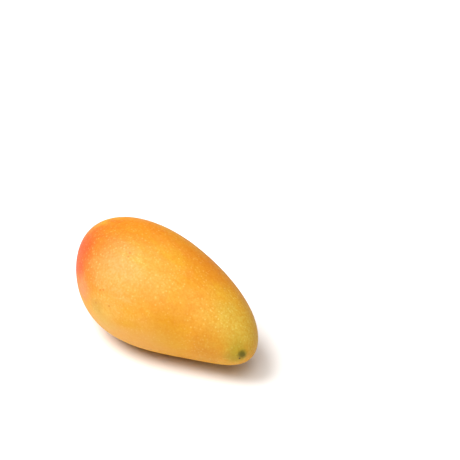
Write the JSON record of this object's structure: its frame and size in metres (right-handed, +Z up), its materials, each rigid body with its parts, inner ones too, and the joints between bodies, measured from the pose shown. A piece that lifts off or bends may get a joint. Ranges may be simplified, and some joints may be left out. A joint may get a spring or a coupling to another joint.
{
  "type": "mango",
  "caption": "Whole ripe mango, broad at the stem end and tapering to a low beak, lying on one cheek on a small flat spot.",
  "frame": {"origin": "centre of the box round the fruit, on the surface it lies on", "axes": "+X along the fruit towards its apex, +Y towards its back, +Z up through the upper cheek"},
  "size_m": [0.1232, 0.071, 0.0665],
  "materials": {
    "skin": "satin"
  },
  "bodies": {
    "root": {"mango": "skin"}
  },
  "joints": []
}
